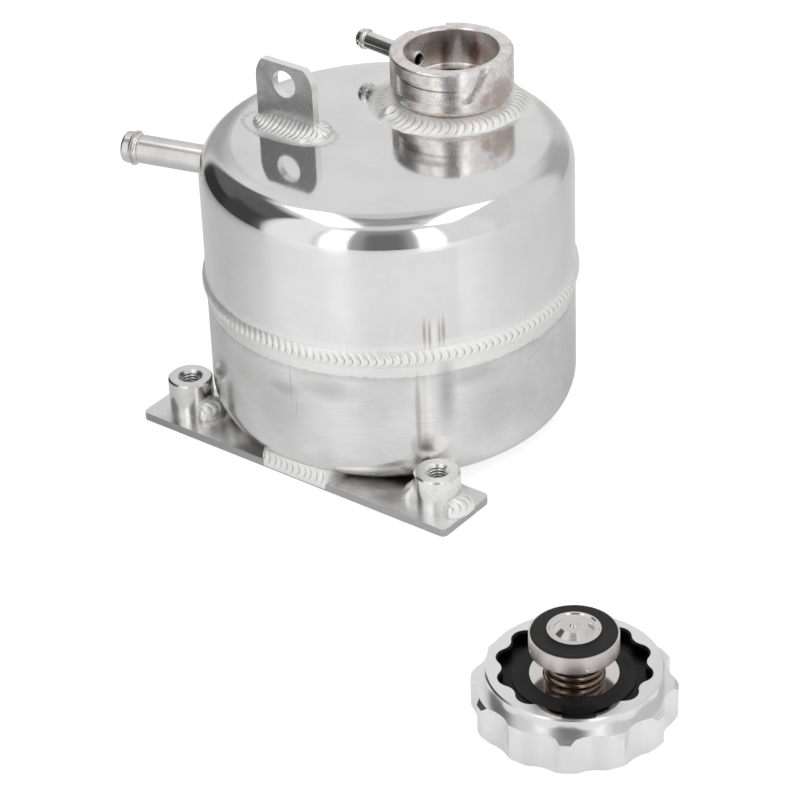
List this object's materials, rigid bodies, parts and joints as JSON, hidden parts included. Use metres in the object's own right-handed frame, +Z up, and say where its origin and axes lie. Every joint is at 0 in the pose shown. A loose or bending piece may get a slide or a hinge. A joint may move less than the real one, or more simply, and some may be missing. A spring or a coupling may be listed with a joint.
{
  "type": "coolant overflow tank",
  "caption": "Round welded aluminium coolant overflow tank on a base plate, with a bayonet filler neck, hose barbs, a mounting tab and a loose pressure cap.",
  "frame": {"origin": "centre of the base plate's underside, on the surface that the tank stands on", "axes": "+Z up, +X along the base plate towards the cap's side, +Y from the plate towards the tank's axis"},
  "size_m": [0.2883, 0.2355, 0.1309],
  "materials": {
    "polished_shell": "mirror polished sheet aluminium",
    "weld_bead": "rippled TIG weld metal",
    "cast_neck": "polished casting with heat stain",
    "turned_tube": "turned and polished",
    "machined_bracket": "polished face with sawn edges",
    "machined_knob": "satin machined",
    "black_insert": "moulded black nylon",
    "black_rubber": "matt black rubber",
    "stainless_pressing": "pressed stainless sheet",
    "spring_wire": "tempered spring wire"
  },
  "bodies": {
    "tank": {"upper_shell": "polished_shell", "lower_shell": "polished_shell", "girth_weld": "weld_bead", "filler_neck": "cast_neck", "neck_weld": "weld_bead", "overflow_barb": "turned_tube", "overflow_barb_braze": "weld_bead", "side_inlet_barb": "turned_tube", "side_inlet_weld": "weld_bead", "outlet_barb": "turned_tube", "outlet_weld": "weld_bead", "mounting_tab": "machined_bracket", "tab_weld_front": "weld_bead", "tab_weld_back": "weld_bead", "base_plate": "machined_bracket", "left_boss": "machined_bracket", "right_boss": "machined_bracket", "left_boss_weld": "weld_bead", "right_boss_weld": "weld_bead", "base_plate_front_weld": "weld_bead", "base_plate_rear_weld": "weld_bead"},
    "cap": {"cap_knob": "machined_knob", "cap_insert": "black_insert", "neck_gasket": "black_rubber", "spring_plate": "stainless_pressing", "valve_guide": "stainless_pressing", "pressure_spring": "spring_wire"},
    "pressure_valve": {"valve_cup": "stainless_pressing", "seal_carrier": "stainless_pressing", "valve_seal": "black_rubber", "vacuum_spring": "spring_wire"},
    "vacuum_valve": {"vacuum_disc": "stainless_pressing", "vacuum_stem": "stainless_pressing", "stem_washer": "stainless_pressing"}
  },
  "joints": [
    {"name": "cap_lift", "type": "slide", "parent": "tank", "child": "cap", "axis": [0, 0, 1], "range_m": [0, 0.12]},
    {"name": "pressure_valve_slide", "type": "slide", "parent": "cap", "child": "pressure_valve", "axis": [0, 0, -1], "range_m": [0, 0.0024], "stiffness_N_per_m": 5000, "springref_m": -0.004, "deforming": ["pressure_spring"]},
    {"name": "vacuum_valve_slide", "type": "slide", "parent": "pressure_valve", "child": "vacuum_valve", "axis": [0, 0, 1], "range_m": [0, 0.0008], "stiffness_N_per_m": 150, "springref_m": -0.003, "deforming": ["vacuum_spring"]}
  ]
}
